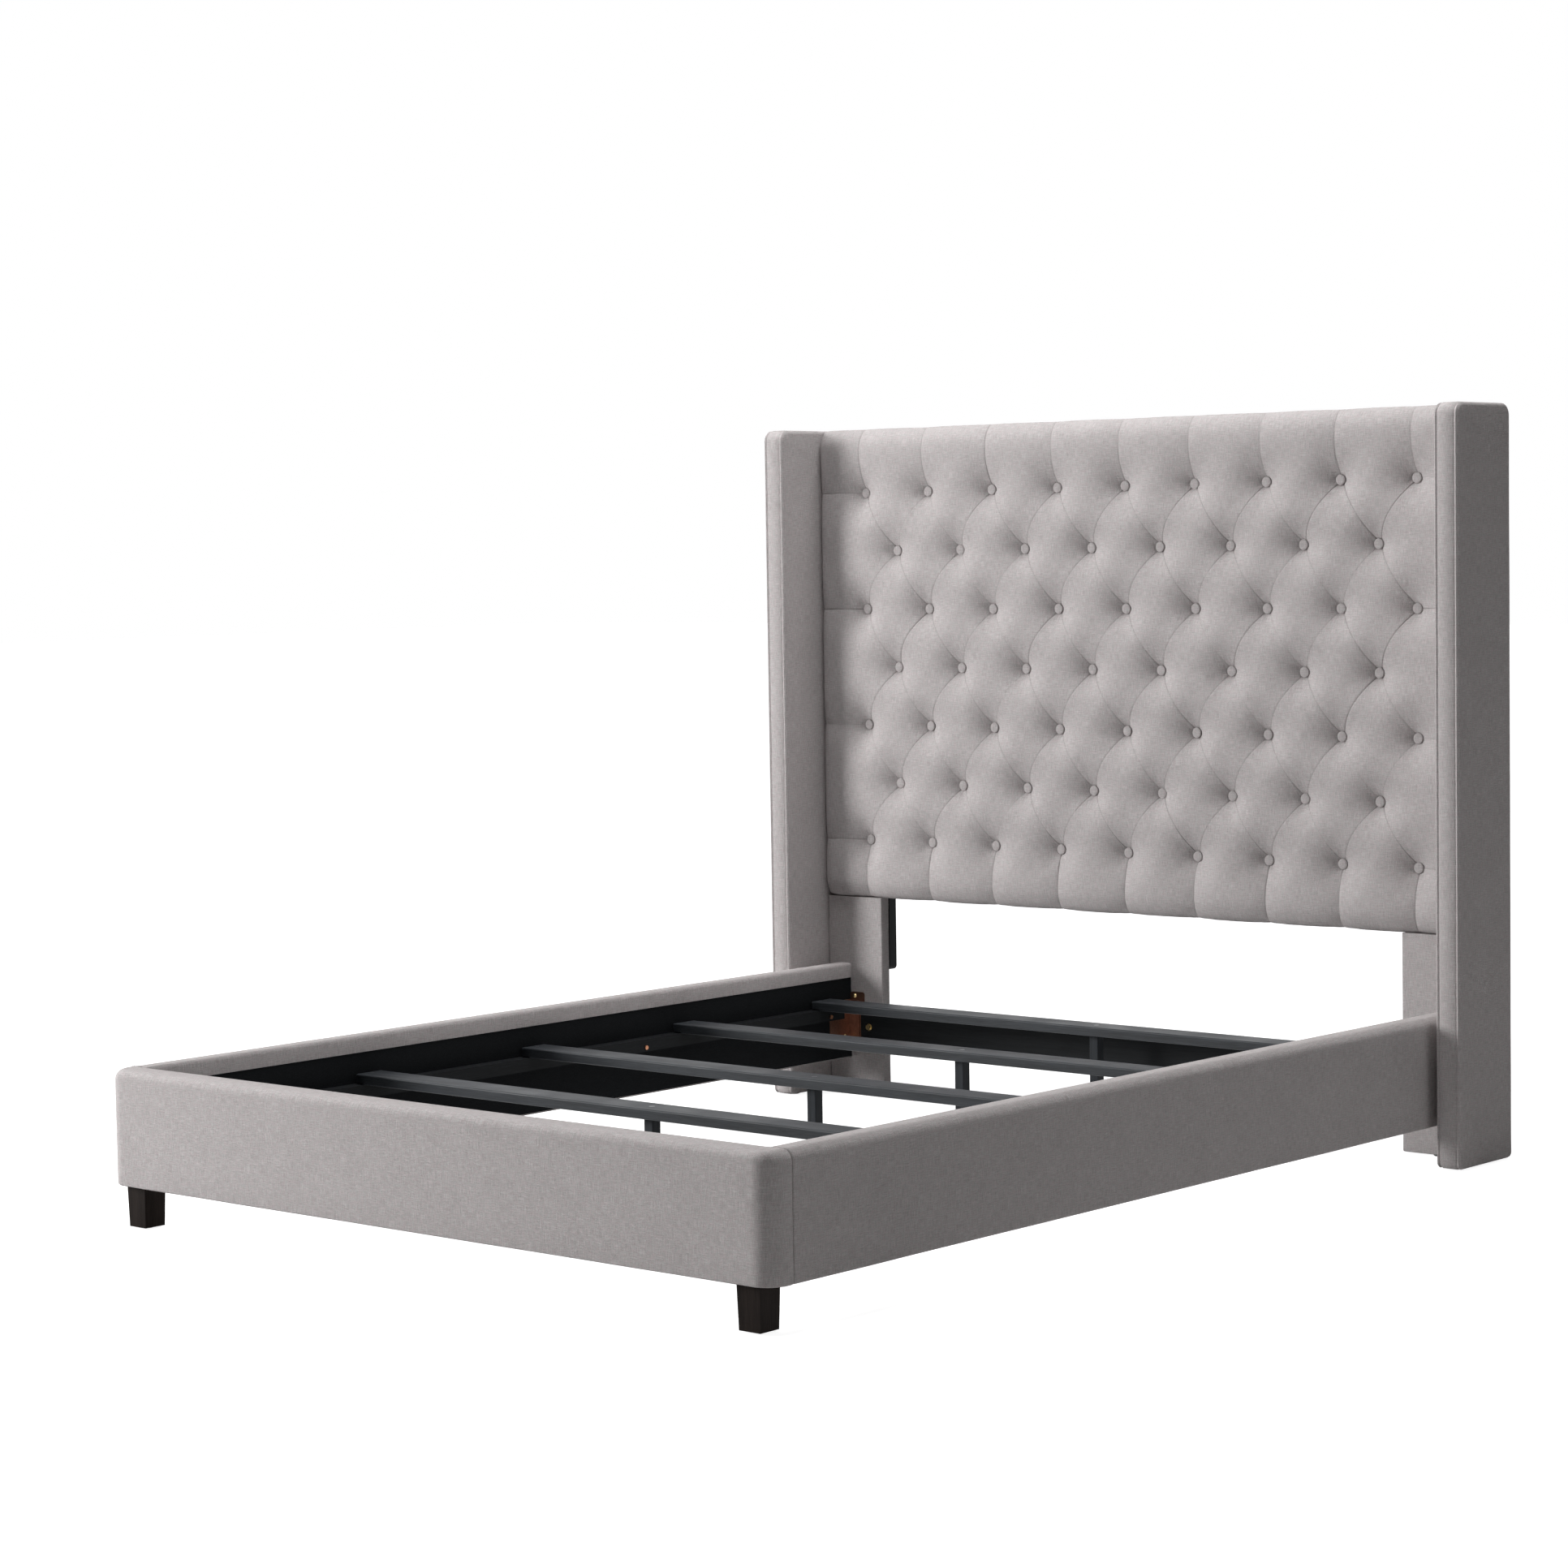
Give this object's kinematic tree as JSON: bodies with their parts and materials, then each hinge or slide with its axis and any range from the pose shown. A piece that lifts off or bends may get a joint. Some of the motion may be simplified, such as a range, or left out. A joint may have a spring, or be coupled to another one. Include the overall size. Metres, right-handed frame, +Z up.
{
  "type": "upholstered headboard bed",
  "caption": "Upholstered bed with a button-tufted headboard between two wings, padded rails and footboard, and slats on centre legs with levelling glides.",
  "frame": {"origin": "on the floor, in the middle of the bed's width and of its length", "axes": "+Z up, +Y towards the headboard, +X to the right of someone who stands at the foot and looks at the headboard"},
  "size_m": [1.81, 2.1878, 1.522],
  "materials": {
    "linen": "woven linen-look upholstery fabric, light warm grey, fine flecked weave",
    "plywood": "bare plywood, sanded",
    "frame_timber": "bare softwood, planed",
    "black_cloth": "thin black non-woven lining cloth",
    "black_wood": "wood painted black, matt",
    "slat_paint": "wood painted dark blue-grey, satin, grain showing",
    "leg_wood": "wood stained espresso, satin",
    "bronze_steel": "steel plate, bronze lacquer",
    "zinc_steel": "yellow zinc plated steel",
    "copper_steel": "copper plated steel",
    "glide_plastic": "black moulded plastic"
  },
  "bodies": {
    "bed_frame": {"tufted_pad": "linen", "tuft_buttons": "linen", "headboard_ply": "plywood", "headboard_frame": "frame_timber", "back_cloth": "black_cloth", "left_strut": "black_wood", "right_strut": "black_wood", "strut_bolts": "zinc_steel", "left_wing_core": "plywood", "right_wing_core": "plywood", "left_wing_cover": "linen", "right_wing_cover": "linen", "wing_bolts": "zinc_steel", "left_post_core": "plywood", "right_post_core": "plywood", "left_post_cover": "linen", "right_post_cover": "linen", "headboard_glides": "glide_plastic", "stretcher": "black_wood", "stretcher_bolts": "zinc_steel", "left_rail_core": "plywood", "right_rail_core": "plywood", "left_rail_cover": "linen", "right_rail_cover": "linen", "left_rail_lining": "black_cloth", "right_rail_lining": "black_cloth", "left_ledger": "black_wood", "right_ledger": "black_wood", "ledger_bolts": "copper_steel", "left_hook_bracket": "bronze_steel", "right_hook_bracket": "bronze_steel", "left_post_plate": "bronze_steel", "right_post_plate": "bronze_steel", "bracket_screws": "zinc_steel", "post_plate_bolts": "zinc_steel", "footboard_core": "plywood", "footboard_cover": "linen", "footboard_lining": "black_cloth", "corner_brackets": "bronze_steel", "corner_bolts": "zinc_steel", "left_front_leg": "leg_wood", "right_front_leg": "leg_wood", "hanger_bolts": "zinc_steel", "leg_glides": "glide_plastic", "slat_1": "slat_paint", "slat_2": "slat_paint", "slat_3": "slat_paint", "slat_4": "slat_paint", "slat_screws": "zinc_steel", "centre_leg_1": "slat_paint", "centre_leg_2": "slat_paint", "centre_leg_3": "slat_paint", "centre_leg_4": "slat_paint", "centre_bolts": "zinc_steel", "leg_inserts": "zinc_steel"},
    "levelling_glide_1": {"leveller_1": "glide_plastic"},
    "levelling_glide_2": {"leveller_2": "glide_plastic"},
    "levelling_glide_3": {"leveller_3": "glide_plastic"},
    "levelling_glide_4": {"leveller_4": "glide_plastic"}
  },
  "joints": [
    {"name": "leveller_1_screw", "type": "slide", "parent": "bed_frame", "child": "levelling_glide_1", "axis": [0, 0, 1], "range_m": [-0.008, 0.01]},
    {"name": "leveller_2_screw", "type": "slide", "parent": "bed_frame", "child": "levelling_glide_2", "axis": [0, 0, 1], "range_m": [-0.008, 0.01]},
    {"name": "leveller_3_screw", "type": "slide", "parent": "bed_frame", "child": "levelling_glide_3", "axis": [0, 0, 1], "range_m": [-0.008, 0.01]},
    {"name": "leveller_4_screw", "type": "slide", "parent": "bed_frame", "child": "levelling_glide_4", "axis": [0, 0, 1], "range_m": [-0.008, 0.01]}
  ]
}
